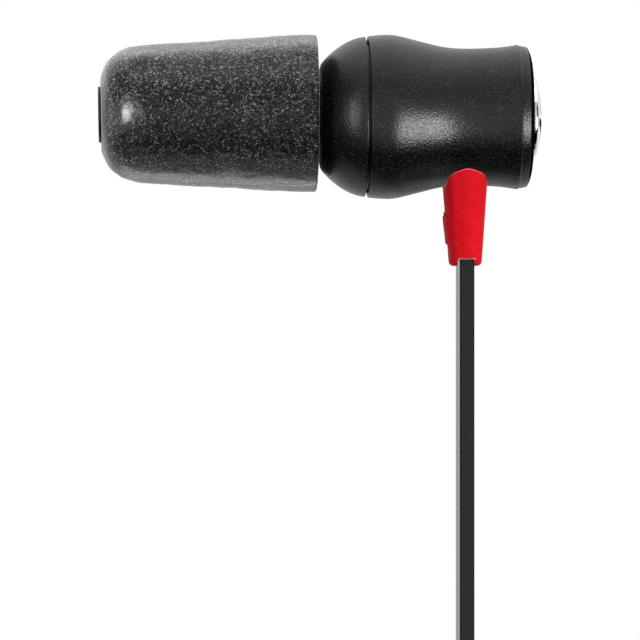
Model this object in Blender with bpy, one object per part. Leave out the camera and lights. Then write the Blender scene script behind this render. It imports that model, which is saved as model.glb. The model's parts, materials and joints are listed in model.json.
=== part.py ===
"""Wired in-ear earphones with foam tips, a flat cord, a Y splitter and a 3.5 mm plug.

The pair hangs from its ear tips: each earpiece lies along +X with its foam tip
at -X, the flat cord drops straight down, and the length below it is folded into
a hank. The origin is the front centre of the left foam tip, +Z is up, and the
units are metres. Lengths below are in millimetres, times MM.
"""

import math

import bmesh
import bpy

MM = 0.001

# ---- driving dimensions, millimetres ----
SHELL_SIDES = 30          # sides of the outer turned pieces
INNER_SIDES = 20          # sides of the small turned pieces
WALL = 0.9                # housing wall
SEAM = 0.2                # groove between the two housing shells
TONGUE = (5.2, 5.52)      # the front shell's register tongue, inner and outer radius
TONGUE_END = 21.5
RIGHT_SHIFT = (1.319, 18.75, 0.651)   # right earpiece, beside and behind the left
RIGHT_TIP_OUT = 0.6       # the right ear tip isn't pushed home quite as far

RELIEF_X = 28.2           # centre of the strain relief along the body
RELIEF_BOTTOM = -11.46
NOTCH_TOP = -10.96
NECK_R = 1.0
NECK_HOLE_R = 1.3

CORD_THICK = 1.1          # flat cord: thin way is X, wide way is Y
CORD_WIDE = 3.5
CORD_X = 28.25            # where the cord leaves the strain relief
CORD_TOP = -11.3

HANK_X = 28.9             # hank: centre, loop radius, run and waist
HANK_Z = -97.0
LOOP_R = 12.2
RUN_HALF = 35.0
WAIST = 1.0
STACK = 3.2               # layers outside the innermost one, with half a cord
HANK_Y = (1.95, 16.8)

SPLIT_X = HANK_X - LOOP_R - 2.6   # splitter, on the straight stretch at the hank's side
SPLIT_Y = 9.375
SPLIT_HALF = 8.2

PLUG_X = HANK_X + LOOP_R + 3.1    # plug, hanging at the hank's other side
PLUG_Y = 11.25
PLUG_TOP = HANK_Z + 21.8

# outer profile of the foam tip, (x, r) front to back
FOAM = [(0.3, 2.5), (0.45, 3.41), (0.75, 4.01), (1.1, 4.4), (1.65, 4.81), (2.42, 5.13),
        (4.2, 5.32), (8.2, 5.52), (12.8, 5.87), (16.45, 5.98), (16.75, 5.75), (16.75, 2.5)]
FRONT_OUTER = [(17.0, 3.7), (17.19, 4.15), (17.5, 4.51), (18.12, 5.05), (18.7, 5.47),
               (19.35, 5.83), (20.0, 6.08), (20.5, 6.1)]
REAR_OUTER = [(20.5 + SEAM, 6.12), (20.95, 6.2), (22.1, 6.29), (23.2, 6.18), (24.7, 5.79), (26.27, 5.42),
              (27.04, 5.28), (27.8, 5.22), (28.8, 5.22), (30.1, 5.31), (31.65, 5.44), (32.2, 5.5),
              (32.8, 5.32), (33.1, 5.0), (33.27, 4.55)]


def material(name, colour, roughness, metallic=0.0):
    m = bpy.data.materials.new(name)
    m.use_nodes = True
    shader = m.node_tree.nodes["Principled BSDF"]
    shader.inputs["Base Color"].default_value = (*colour, 1.0)
    shader.inputs["Roughness"].default_value = roughness
    shader.inputs["Metallic"].default_value = metallic
    m.diffuse_color = (*colour, 1.0)
    return m


def clear_scene():
    for o in list(bpy.data.objects):
        bpy.data.objects.remove(o)


def mesh_from(bm, name, sharp=40.0):
    bmesh.ops.recalc_face_normals(bm, faces=bm.faces)
    mesh = bpy.data.meshes.new(name)
    bm.to_mesh(mesh)
    bm.free()
    mesh.shade_smooth()
    mesh.set_sharp_from_angle(angle=math.radians(sharp))
    return mesh


def turned_mesh(name, profile, sides, ring):
    """A profile of (x, r) spun once about the X axis: a ring if it closes on itself, else a solid."""
    bm = bmesh.new()
    verts = [bm.verts.new((x * MM, 0.0, r * MM)) for x, r in profile]
    edges = [bm.edges.new(pair) for pair in zip(verts, verts[1:])]
    if ring:
        edges.append(bm.edges.new((verts[-1], verts[0])))
    bmesh.ops.spin(bm, geom=verts + edges, cent=(0, 0, 0), axis=(1, 0, 0),
                   angle=2 * math.pi, steps=sides, use_duplicate=False)
    bmesh.ops.remove_doubles(bm, verts=bm.verts, dist=1e-6)
    return mesh_from(bm, name)


def loft_mesh(name, rings):
    """Rings of equal counts joined in order, with both ends closed."""
    bm = bmesh.new()
    loops = [[bm.verts.new([c * MM for c in p]) for p in ring] for ring in rings]
    count = len(loops[0])
    for lower, upper in zip(loops, loops[1:]):
        for i in range(count):
            j = (i + 1) % count
            bm.faces.new((lower[i], lower[j], upper[j], upper[i]))
    bm.faces.new(loops[0])
    bm.faces.new(loops[-1])
    return mesh_from(bm, name)


def plate_mesh(name, outline, y0, y1):
    """An outline of (x, z) extruded from y0 to y1."""
    bm = bmesh.new()
    face = bm.faces.new([bm.verts.new((x * MM, y0 * MM, z * MM)) for x, z in outline])
    out = bmesh.ops.extrude_face_region(bm, geom=[face])
    moved = [v for v in out["geom"] if isinstance(v, bmesh.types.BMVert)]
    bmesh.ops.translate(bm, verts=moved, vec=(0, (y1 - y0) * MM, 0))
    return mesh_from(bm, name)


def block_mesh(name, low, high):
    (x0, y0, z0), (x1, y1, z1) = low, high
    return plate_mesh(name, [(x0, z0), (x1, z0), (x1, z1), (x0, z1)], y0, y1)


def put(name, mesh, mat, parent=None, at=(0.0, 0.0, 0.0)):
    o = bpy.data.objects.new(name, mesh)
    bpy.context.scene.collection.objects.link(o)
    if not mesh.materials:
        mesh.materials.append(mat)
    o.location = [c * MM for c in at]
    o.parent = parent
    return o


def cut(target, name, mesh, parent):
    """Takes a shape out of the target with a Boolean; the cutter itself isn't a piece."""
    tool = bpy.data.objects.new(name, mesh)
    bpy.context.scene.collection.objects.link(tool)
    tool.parent = parent
    tool.hide_render = True
    tool.display_type = "WIRE"
    mod = target.modifiers.new("cut_" + name, "BOOLEAN")
    mod.operation = "DIFFERENCE"
    mod.solver = "EXACT"
    mod.object = tool


def radius_at(profile, x):
    for (xa, ra), (xb, rb) in zip(profile, profile[1:]):
        if xa <= x <= xb and xb > xa:
            return ra + (rb - ra) * (x - xa) / (xb - xa)
    return profile[-1][1]


def inner_of(profile, wall, start, stop):
    """The profile's inside wall, back to front, between two stations."""
    stations = [x for x, _ in profile if start < x < stop]
    points = [(x, radius_at(profile, x) - wall) for x in [start, *stations, stop]]
    return points[::-1]


# ---- the strain relief: an oval column that saddles the housing ----
def relief_section(z):
    """Half widths along X and Y, and the centre along X, at height z."""
    t = min(max((-5.2 - z) / 6.2, 0.0), 1.0)
    half_x = 1.66 - 0.38 * t
    half_y = 3.5 - 0.95 * t
    centre = RELIEF_X + 0.03 * t
    return half_x, half_y, centre


def oval(half_x, half_y, count, power=2.4):
    points = []
    for i in range(count):
        a = 2 * math.pi * (i + 0.5) / count
        c, s = math.cos(a), math.sin(a)
        points.append((half_x * math.copysign(abs(c) ** (2 / power), c),
                       half_y * math.copysign(abs(s) ** (2 / power), s)))
    return points


def relief_mesh(name):
    count = 24
    rings = []
    for z, inset, pad in ((RELIEF_BOTTOM, 0.35, 0), (-11.3, 0.08, 0), (-11.1, 0.0, 0), (-9.86, 0.0, 0),
                          (-9.72, 0.0, 0.2), (-7.68, 0.0, 0.2), (-7.56, 0.0, 0), (-6.4, 0.0, 0), (-5.55, 0.0, 0)):
        half_x, half_y, centre = relief_section(z)
        ring = []
        for x, y in oval(half_x - inset, half_y - inset, count):
            if pad and x < 0 and abs(y) < 1.9:
                x -= pad
            ring.append((centre + x, y, z))
        rings.append(ring)
    for k, scale in enumerate((1.0, 0.82, 0.64, 0.48)):
        ring = []
        for x, y in oval(1.66 * scale if k else 1.66, 3.5 * scale, count):
            if k == 3:
                a = math.atan2(y / (3.5 * scale), x / (1.66 * scale))
                x, y = NECK_R * math.cos(a), NECK_R * math.sin(a)
            body = radius_at(REAR_OUTER, RELIEF_X + x) + 0.16
            ring.append((RELIEF_X + x, y, -math.sqrt(body * body - y * y)))
        rings.append(ring)
    rings.append([(x, y, -3.1) for x, y, _ in rings[-1]])
    return loft_mesh(name, rings)


# ---- the hank: two loops with a pinched waist ----
def run_half_width(z):
    return WAIST + (LOOP_R - WAIST) * (1 - math.cos(math.pi * min(abs(z) / RUN_HALF, 1.0))) / 2


def arc(cx, cz, r, start, stop, steps):
    return [(cx + r * math.cos(math.radians(start + (stop - start) * i / steps)),
             cz + r * math.sin(math.radians(start + (stop - start) * i / steps))) for i in range(steps + 1)]


def hank_outline():
    r = LOOP_R + STACK
    points = arc(0, RUN_HALF, r, 180, 0, 14)
    points += [(LOOP_R + 4.0, RUN_HALF - 1.0), (LOOP_R + 4.0, 22.1)]
    points += [(run_half_width(z) + STACK, z) for z in (22.1, 18, 14, 10, 6, 2, -2, -6, -10, -14, -18, -22, -27, -31)]
    points += arc(0, -RUN_HALF, r, 0, -180, 14)
    points += [(-LOOP_R - 3.5, -RUN_HALF + 1.0), (-LOOP_R - 3.5, -8.6)]
    points += [(-run_half_width(z) - STACK, z) for z in (-8.6, -5, -1.7, 1.7, 5, 8.6)]
    points += [(-LOOP_R - 3.5, 8.6), (-LOOP_R - 3.5, RUN_HALF - 1.0)]
    return [(x + HANK_X, z + HANK_Z) for x, z in points]


def loop_hole(sign):
    r = LOOP_R - 0.9
    side = [(run_half_width(z) - 0.9, z) for z in (12, 17, 22, 27, 31)]
    points = side + arc(0, RUN_HALF, r, 0, 180, 12) + [(-x, z) for x, z in side[::-1]]
    points = [(x, z * sign) for x, z in points]
    return [(x + HANK_X, z + HANK_Z) for x, z in points]


def rounded_rectangle(half_x, half_y, r, steps=3):
    points = []
    for cx, cy, start in ((1, 1, 0), (-1, 1, 90), (-1, -1, 180), (1, -1, 270)):
        for i in range(steps + 1):
            a = math.radians(start + 90 * i / steps)
            points.append((cx * (half_x - r) + r * math.cos(a), cy * (half_y - r) + r * math.sin(a)))
    return points


def band_mesh(name, inner, outer, z0, z1):
    """A closed strap: two outlines of equal counts in the XY plane, between two heights."""
    bm = bmesh.new()
    count = len(inner)
    loops = [[bm.verts.new((x * MM, y * MM, z * MM)) for x, y in outline]
             for outline, z in ((inner, z0), (outer, z0), (outer, z1), (inner, z1))]
    for k in range(4):
        a, b = loops[k], loops[(k + 1) % 4]
        for i in range(count):
            j = (i + 1) % count
            bm.faces.new((a[i], a[j], b[j], b[i]))
    return mesh_from(bm, name)


def wire(name, points, radius, mat, parent):
    curve = bpy.data.curves.new(name, "CURVE")
    curve.dimensions = "3D"
    curve.bevel_depth = radius * MM
    curve.bevel_resolution = 1
    curve.use_fill_caps = True
    spline = curve.splines.new("POLY")
    spline.points.add(len(points) - 1)
    for p, co in zip(spline.points, points):
        p.co = (*[c * MM for c in co], 1.0)
    o = bpy.data.objects.new(name, curve)
    bpy.context.scene.collection.objects.link(o)
    curve.materials.append(mat)
    o.parent = parent
    return o


def bezier(a, b, c, d, steps):
    """Points on a cubic from a to d, leaving towards b and arriving from c."""
    out = []
    for i in range(steps + 1):
        t = i / steps
        out.append(tuple((1 - t) ** 3 * p + 3 * (1 - t) ** 2 * t * q + 3 * (1 - t) * t * t * r + t ** 3 * s
                         for p, q, r, s in zip(a, b, c, d)))
    return out


clear_scene()

FOAM_GREY = material("memory_foam", (0.055, 0.055, 0.057), 0.95)
CORE_BLACK = material("core_rubber", (0.02, 0.02, 0.02), 0.6)
SHELL_BLACK = material("soft_touch_shell", (0.035, 0.035, 0.037), 0.55)
CHROME = material("badge_chrome", (0.85, 0.85, 0.86), 0.08, 1.0)
RED = material("relief_red", (0.72, 0.02, 0.03), 0.5)
CORD_BLACK = material("cord_rubber", (0.03, 0.03, 0.032), 0.5)
NOZZLE_BLACK = material("nozzle_plastic", (0.02, 0.02, 0.02), 0.35)
STEEL = material("steel_mesh", (0.55, 0.55, 0.56), 0.35, 1.0)
BRASS = material("brass_ring", (0.78, 0.6, 0.3), 0.3, 1.0)
GOLD = material("gold_plate", (0.95, 0.72, 0.35), 0.18, 1.0)
FILM = material("diaphragm_film", (0.6, 0.55, 0.42), 0.25)
COPPER = material("coil_copper", (0.75, 0.36, 0.2), 0.35, 1.0)
MAGNET = material("magnet_nickel", (0.62, 0.61, 0.6), 0.25, 1.0)
BOARD = material("board_green", (0.03, 0.18, 0.08), 0.45)
FELT = material("damper_felt", (0.75, 0.74, 0.7), 0.95)
INSULATOR = material("plug_insulator", (0.02, 0.02, 0.02), 0.4)
WIRE_RED = material("wire_red", (0.6, 0.03, 0.02), 0.4)
WIRE_GREEN = material("wire_green", (0.03, 0.35, 0.1), 0.4)
STRAP = material("strap_fabric", (0.04, 0.04, 0.042), 0.9)

# ---- meshes that both earpieces share ----
foam = turned_mesh("foam_tip", FOAM, SHELL_SIDES, True)
core = turned_mesh("tip_core", [(0.0, 1.4), (0.0, 2.1), (0.32, 2.3), (0.32, 2.4), (16.5, 2.4), (16.5, 1.95),
                                (8.5, 1.95), (8.2, 1.4)], INNER_SIDES, True)
nozzle = turned_mesh("nozzle", [(9.1, 1.2), (9.1, 1.6), (9.5, 1.8), (16.6, 1.8), (18.0, 1.8), (18.0, 3.3),
                                (18.7, 3.3), (18.7, 1.6), (18.2, 1.2)], INNER_SIDES, True)
mesh_disc = turned_mesh("nozzle_mesh", [(8.85, 0.0), (8.85, 1.75), (9.03, 1.75), (9.03, 0.0)], INNER_SIDES, False)
damper = turned_mesh("acoustic_damper", [(13.0, 0.0), (13.0, 1.05), (15.2, 1.05), (15.2, 0.0)], INNER_SIDES, False)

front_shell = turned_mesh(
    "front_housing",
    FRONT_OUTER + [(20.5, TONGUE[1]), (TONGUE_END, TONGUE[1]), (TONGUE_END, TONGUE[0])]
    + inner_of(FRONT_OUTER, WALL, 17.9, 20.5) + [(17.9, 1.95), (17.0, 1.95)],
    SHELL_SIDES, True)
grille = turned_mesh("driver_grille", [(19.55, 0.6), (19.35, 2.6), (19.55, 4.7), (19.75, 4.7), (19.55, 2.6), (19.75, 0.6)],
                     INNER_SIDES, True)
frame_ring = turned_mesh("driver_frame", [(19.95, 4.45), (19.95, 4.85), (22.4, 4.85), (22.4, 3.7), (22.0, 3.7), (22.0, 4.45)],
                         INNER_SIDES, True)
film = turned_mesh("diaphragm", [(20.15, 0.0), (20.25, 1.4), (20.5, 2.6), (20.3, 3.5), (20.5, 4.25), (20.62, 4.25),
                                 (20.45, 3.5), (20.65, 2.6), (20.4, 1.4), (20.3, 0.0)], INNER_SIDES, False)
coil = turned_mesh("voice_coil", [(20.75, 2.6), (20.75, 2.8), (22.2, 2.8), (22.2, 2.6)], INNER_SIDES, True)
top_plate = turned_mesh("top_plate", [(21.2, 0.0), (21.2, 2.35), (21.65, 2.35), (21.65, 0.0)], INNER_SIDES, False)
magnet = turned_mesh("magnet", [(21.7, 0.0), (21.7, 2.3), (22.7, 2.3), (22.7, 0.0)], INNER_SIDES, False)
yoke = turned_mesh("yoke", [(22.8, 0.0), (22.8, 3.05), (21.2, 3.05), (21.2, 3.5), (23.3, 3.5), (23.3, 0.0)],
                   INNER_SIDES, False)
board = turned_mesh("driver_board", [(23.6, 0.0), (23.6, 3.0), (24.0, 3.0), (24.0, 0.0)], INNER_SIDES, False)
rear_shell = turned_mesh(
    "rear_housing",
    [(32.75, 0.0), (32.75, 3.14), (33.27, 3.14)] + REAR_OUTER[::-1]
    + [(20.5 + SEAM, TONGUE[1] + 0.3), (TONGUE_END + 0.3, TONGUE[1] + 0.3)]
    + inner_of(REAR_OUTER, WALL, TONGUE_END + 0.3, 31.9)[::-1] + [(31.9, 0.0)],
    SHELL_SIDES, False)
badge = turned_mesh("rear_badge", [(32.82, 0.0), (32.82, 3.04), (33.33, 3.04), (33.45, 2.92), (33.75, 2.2), (33.98, 1.3),
                                   (34.1, 0.0)], INNER_SIDES, False)
neck_hole = loft_mesh("neck_hole", [[(RELIEF_X + NECK_HOLE_R * math.cos(2 * math.pi * i / 12),
                                      NECK_HOLE_R * math.sin(2 * math.pi * i / 12), z) for i in range(12)]
                                    for z in (-7.0, -3.2)])
relief = relief_mesh("strain_relief")
notch = block_mesh("cord_notch", (CORD_X - 0.67, -6.0, -13.0), (CORD_X + 0.67, 6.0, NOTCH_TOP))
crimp = loft_mesh("cord_crimp", [[(RELIEF_X + x, y, z) for x, y in rounded_rectangle(w, d, 0.3, 2)]
                                 for z, w, d in ((-2.95, 0.9, 1.3), (-2.8, 1.0, 1.4), (-1.6, 1.0, 1.4), (-1.45, 0.9, 1.3))])


def earpiece(side, at, tip_out):
    """One earpiece on its own empty, and the empties of its two moving groups."""
    hub = bpy.data.objects.new("earpiece_" + side, None)
    bpy.context.scene.collection.objects.link(hub)
    hub.location = [c * MM for c in at]
    tip = bpy.data.objects.new("tip_group_" + side, None)
    bpy.context.scene.collection.objects.link(tip)
    tip.parent = hub
    tip.location = (-tip_out * MM, 0.0, 0.0)
    cone = bpy.data.objects.new("cone_group_" + side, None)
    bpy.context.scene.collection.objects.link(cone)
    cone.parent = hub
    put("foam_tip_" + side, foam, FOAM_GREY, tip)
    put("tip_core_" + side, core, CORE_BLACK, tip)
    put("nozzle_" + side, nozzle, NOZZLE_BLACK, hub)
    put("nozzle_mesh_" + side, mesh_disc, STEEL, hub)
    put("acoustic_damper_" + side, damper, FELT, hub)
    put("front_housing_" + side, front_shell, SHELL_BLACK, hub)
    put("driver_grille_" + side, grille, STEEL, hub)
    put("driver_frame_" + side, frame_ring, BRASS, hub)
    put("diaphragm_" + side, film, FILM, cone)
    put("voice_coil_" + side, coil, COPPER, cone)
    put("top_plate_" + side, top_plate, STEEL, hub)
    put("magnet_" + side, magnet, MAGNET, hub)
    put("yoke_" + side, yoke, STEEL, hub)
    put("driver_board_" + side, board, BOARD, hub)
    shell = put("rear_housing_" + side, rear_shell, SHELL_BLACK, hub)
    cut(shell, "neck_hole_" + side, neck_hole, hub)
    put("rear_badge_" + side, badge, CHROME, hub)
    column = put("strain_relief_" + side, relief, RED, hub)
    cut(column, "cord_notch_" + side, notch, hub)
    put("cord_crimp_" + side, crimp, STEEL, hub)
    for name, y, mat in (("wire_signal_", 0.75, WIRE_RED), ("wire_return_", -0.75, WIRE_GREEN)):
        wire(name + side, bezier((24.25, y * 1.6, -1.6), (25.4, y * 1.6, -0.8), (RELIEF_X - 0.6, y, 0.6),
                                 (RELIEF_X, y, -1.2), 9), 0.2, mat, hub)
    return hub


earpiece("left", (0.0, 0.0, 0.0), 0.0)
earpiece("right", RIGHT_SHIFT, RIGHT_TIP_OUT)

# ---- the cord: two straight drops, the hank of the rest, and its tie ----
drop = rounded_rectangle(CORD_THICK / 2, CORD_WIDE / 2, 0.25, 2)
for side, shift in (("left", (0.0, 0.0, 0.0)), ("right", RIGHT_SHIFT)):
    rings = []
    for z in (CORD_TOP, -30.0, -50.0, -70.0, HANK_Z - 6.0 - shift[2]):
        rings.append([(CORD_X + x, y, z) for x, y in drop])
    put("cord_" + side, loft_mesh("cord_" + side, rings), CORD_BLACK, None, shift)

hank = put("cord_hank", plate_mesh("cord_hank", hank_outline(), *HANK_Y), CORD_BLACK)
for k, sign in enumerate((1, -1)):
    cut(hank, "loop_hole_%d" % k, plate_mesh("loop_hole_%d" % k, loop_hole(sign), HANK_Y[0] - 2, HANK_Y[1] + 2), None)

tie_y = RIGHT_SHIFT[1] / 2
tie_in = [(HANK_X + x, tie_y + y) for x, y in rounded_rectangle(4.75, 11.6, 2.0)]
tie_out = [(HANK_X + x, tie_y + y) for x, y in rounded_rectangle(5.95, 12.8, 3.2)]
put("hank_tie", band_mesh("hank_tie", tie_in, tie_out, HANK_Z - 4.2, HANK_Z + 4.2), STRAP)

# ---- the Y splitter: two flat cords in below, one out above ----
levels = ((-SPLIT_HALF, 1.25, 3.9), (-SPLIT_HALF + 0.5, 1.5, 4.2), (-2.0, 1.7, 4.1), (3.0, 1.7, 3.1),
          (SPLIT_HALF - 0.5, 1.45, 2.45), (SPLIT_HALF, 1.2, 2.2))
put("splitter", loft_mesh("splitter", [[(SPLIT_X + x, SPLIT_Y + y, HANK_Z + z)
                                        for x, y in rounded_rectangle(w, d, 0.9)] for z, w, d in levels]), CORD_BLACK)


# ---- the plug, pin down ----
def turned_down(name, profile, sides):
    """A profile of (distance below the top, r) spun about a vertical axis."""
    bm = bmesh.new()
    verts = [bm.verts.new((r * MM, 0.0, -d * MM)) for d, r in profile]
    edges = [bm.edges.new(pair) for pair in zip(verts, verts[1:])]
    bmesh.ops.spin(bm, geom=verts + edges, cent=(0, 0, 0), axis=(0, 0, 1),
                   angle=2 * math.pi, steps=sides, use_duplicate=False)
    bmesh.ops.remove_doubles(bm, verts=bm.verts, dist=1e-6)
    return mesh_from(bm, name)


at_plug = (PLUG_X, PLUG_Y, PLUG_TOP)
plug_relief = [[(x, y, -d) for x, y in rounded_rectangle(w, h, r)]
               for d, w, h, r in ((0.0, 0.95, 2.1, 0.6), (0.5, 1.15, 2.3, 0.8), (7.5, 1.9, 2.6, 1.6), (8.0, 1.9, 2.6, 1.6))]
put("plug_relief", loft_mesh("plug_relief", plug_relief), RED, None, at_plug)
put("plug_body", turned_down("plug_body", [(8.15, 0.0), (8.15, 2.5), (8.7, 3.05), (10.2, 3.2), (21.3, 3.2), (22.0, 3.0),
                                           (22.4, 3.0), (22.4, 2.1), (20.9, 2.1), (20.9, 0.0)], 24), SHELL_BLACK, None, at_plug)
put("plug_sleeve", turned_down("plug_sleeve", [(21.2, 0.0), (21.2, 1.75), (29.2, 1.75), (29.2, 0.0)], 16), GOLD, None, at_plug)
put("plug_insulator_rear", turned_down("plug_insulator_rear", [(29.25, 0.0), (29.25, 1.68), (29.85, 1.68), (29.85, 0.0)], 16),
    INSULATOR, None, at_plug)
put("plug_ring", turned_down("plug_ring", [(29.9, 0.0), (29.9, 1.75), (32.1, 1.75), (32.1, 0.0)], 16), GOLD, None, at_plug)
put("plug_insulator_front", turned_down("plug_insulator_front", [(32.15, 0.0), (32.15, 1.68), (32.75, 1.68), (32.75, 0.0)], 16),
    INSULATOR, None, at_plug)
put("plug_tip", turned_down("plug_tip", [(32.8, 0.0), (32.8, 1.75), (33.3, 1.75), (34.1, 1.2), (34.5, 1.2), (35.2, 1.55),
                                         (36.2, 0.7), (36.5, 0.0)], 16), GOLD, None, at_plug)
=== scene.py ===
"""Looks for the wired earphones: two foam-tipped earpieces, a flat cord folded into a
hank, its splitter and its plug. Lengths below are in millimetres, times MM, in the
part's own frame: +X from the foam tip to the rear badge, +Y away from the camera, +Z up.
"""

import json
import math

import bmesh
import bpy
from mathutils import Matrix, Vector, noise

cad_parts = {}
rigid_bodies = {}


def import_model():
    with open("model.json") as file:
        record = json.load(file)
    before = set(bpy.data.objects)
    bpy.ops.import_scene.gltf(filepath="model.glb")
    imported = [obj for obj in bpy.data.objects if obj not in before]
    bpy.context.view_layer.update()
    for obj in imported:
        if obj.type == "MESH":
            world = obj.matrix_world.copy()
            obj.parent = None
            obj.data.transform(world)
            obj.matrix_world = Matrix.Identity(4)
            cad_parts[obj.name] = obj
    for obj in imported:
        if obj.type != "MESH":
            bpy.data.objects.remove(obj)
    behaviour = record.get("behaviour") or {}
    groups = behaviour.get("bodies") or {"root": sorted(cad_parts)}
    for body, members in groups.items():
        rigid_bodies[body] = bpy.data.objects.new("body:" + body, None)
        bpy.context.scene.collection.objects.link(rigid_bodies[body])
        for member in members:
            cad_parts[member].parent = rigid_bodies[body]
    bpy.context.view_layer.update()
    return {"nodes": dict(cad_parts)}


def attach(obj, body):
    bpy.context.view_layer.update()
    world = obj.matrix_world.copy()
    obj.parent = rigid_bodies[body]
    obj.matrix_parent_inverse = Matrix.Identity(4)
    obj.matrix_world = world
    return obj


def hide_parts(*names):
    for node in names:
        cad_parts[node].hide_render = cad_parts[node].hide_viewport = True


for _o in list(bpy.data.objects):
    bpy.data.objects.remove(_o)

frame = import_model()

MM = 0.001
SHIFT = {"left": (0.0, 0.0, 0.0), "right": (1.319, 18.75, 0.651)}
TIP_OUT = {"left": 0.0, "right": 0.6}      # how far each ear tip rests out along its nozzle
SIDES = ("left", "right")


# ------------------------------------------------------------------ camera
CENTRE = Vector((17.04, 0.0, -15.627)) * MM
AZIMUTH, DISTANCE, FIELD = math.radians(-2.6), 450 * MM, 49.23 * MM
cam_data = bpy.data.cameras.new("camera")
cam = bpy.data.objects.new("camera", cam_data)
bpy.context.scene.collection.objects.link(cam)
back = Vector((math.sin(AZIMUTH), -math.cos(AZIMUTH), 0.0))
cam.location = CENTRE + back * DISTANCE
cam.rotation_mode = "QUATERNION"
cam.rotation_quaternion = (-back).to_track_quat("-Z", "Y")
cam_data.sensor_width = 36.0
cam_data.lens = 36.0 * DISTANCE / FIELD
cam_data.clip_start, cam_data.clip_end = 0.01, 20.0
bpy.context.scene.camera = cam


# ------------------------------------------------------------------ node helpers
def new_material(name):
    m = bpy.data.materials.new(name)
    m.use_nodes = True
    tree = m.node_tree
    shader = tree.nodes["Principled BSDF"]
    return m, tree, shader


def node(tree, kind, **inputs):
    n = tree.nodes.new(kind)
    for key, value in inputs.items():
        n.inputs[key.replace("_", " ")].default_value = value
    return n


def object_coords(tree, scale=(1.0, 1.0, 1.0)):
    tc = tree.nodes.new("ShaderNodeTexCoord")
    mp = tree.nodes.new("ShaderNodeMapping")
    mp.inputs["Scale"].default_value = scale
    tree.links.new(tc.outputs["Object"], mp.inputs["Vector"])
    return mp.outputs["Vector"]


def noise_tex(tree, coords, size_mm, detail=2.0, rough=0.5):
    """Noise whose grains are about size_mm across."""
    n = tree.nodes.new("ShaderNodeTexNoise")
    n.inputs["Scale"].default_value = 1.0 / (size_mm * MM)
    n.inputs["Detail"].default_value = detail
    n.inputs["Roughness"].default_value = rough
    tree.links.new(coords, n.inputs["Vector"])
    return n.outputs["Fac"]


def voronoi_tex(tree, coords, size_mm, feature="F1"):
    n = tree.nodes.new("ShaderNodeTexVoronoi")
    n.feature = feature
    n.inputs["Scale"].default_value = 1.0 / (size_mm * MM)
    tree.links.new(coords, n.inputs["Vector"])
    return n.outputs["Distance"]


def ramp(tree, fac, stops):
    r = tree.nodes.new("ShaderNodeValToRGB")
    elements = r.color_ramp.elements
    while len(elements) < len(stops):
        elements.new(0.5)
    for e, (pos, colour) in zip(elements, stops):
        e.position = pos
        e.color = (*colour, 1.0) if len(colour) == 3 else colour
    tree.links.new(fac, r.inputs["Fac"])
    return r.outputs["Color"]


def grey(v):
    return (v, v, v)


def remap(tree, fac, a, b, c, d):
    m = tree.nodes.new("ShaderNodeMapRange")
    m.inputs["From Min"].default_value = a
    m.inputs["From Max"].default_value = b
    m.inputs["To Min"].default_value = c
    m.inputs["To Max"].default_value = d
    tree.links.new(fac, m.inputs["Value"])
    return m.outputs["Result"]


def math_node(tree, op, a, b):
    m = tree.nodes.new("ShaderNodeMath")
    m.operation = op
    for i, v in enumerate((a, b)):
        if isinstance(v, (int, float)):
            m.inputs[i].default_value = v
        else:
            tree.links.new(v, m.inputs[i])
    return m.outputs[0]


def bump(tree, height, strength, distance_mm, normal=None):
    b = tree.nodes.new("ShaderNodeBump")
    b.inputs["Strength"].default_value = strength
    b.inputs["Distance"].default_value = distance_mm * MM
    tree.links.new(height, b.inputs["Height"])
    if normal is not None:
        tree.links.new(normal, b.inputs["Normal"])
    return b.outputs["Normal"]


def setup(shader, **values):
    for key, v in values.items():
        shader.inputs[key.replace("_", " ")].default_value = v


# ------------------------------------------------------------------ materials
def foam_material():
    """Open-cell foam: dark pits and pale cell walls, under a soft skin."""
    m, t, s = new_material("memory_foam")
    co = object_coords(t)
    cells = noise_tex(t, co, 0.12, 1.0, 0.5)
    fine = noise_tex(t, co, 0.085, 1.0, 0.5)
    blotch = noise_tex(t, co, 2.4, 2.0, 0.5)
    pores = t.nodes.new("ShaderNodeTexVoronoi")
    pores.inputs["Scale"].default_value = 1.0 / (0.13 * MM)
    t.links.new(co, pores.inputs["Vector"])
    chance = t.nodes.new("ShaderNodeSeparateColor")
    t.links.new(pores.outputs["Color"], chance.inputs["Color"])
    grain = math_node(t, "ADD", math_node(t, "MULTIPLY", cells, 0.6), math_node(t, "MULTIPLY", fine, 0.4))
    mix = math_node(t, "ADD", grain, remap(t, chance.outputs["Red"], 0.0, 1.0, -0.13, 0.13))
    mix = math_node(t, "ADD", mix, remap(t, blotch, 0.3, 0.7, -0.01, 0.01))
    colour = ramp(t, mix, [(0.35, grey(0.0005)), (0.43, grey(0.003)), (0.505, grey(0.017)), (0.575, grey(0.05)),
                           (0.645, grey(0.13)), (0.74, (0.42, 0.42, 0.425))])
    t.links.new(colour, s.inputs["Base Color"])
    t.links.new(remap(t, mix, 0.38, 0.66, 0.75, 0.36), s.inputs["Roughness"])
    setup(s, Specular_IOR_Level=0.0, Sheen_Weight=1.0, Sheen_Roughness=0.36, Coat_Weight=0.25, Coat_Roughness=0.28)
    s.inputs["Sheen Tint"].default_value = (0.95, 0.95, 0.96, 1.0)
    t.links.new(bump(t, grain, 0.9, 0.09), s.inputs["Normal"])
    t.links.new(bump(t, grain, 0.6, 0.014), s.inputs["Coat Normal"])
    return m


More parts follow.
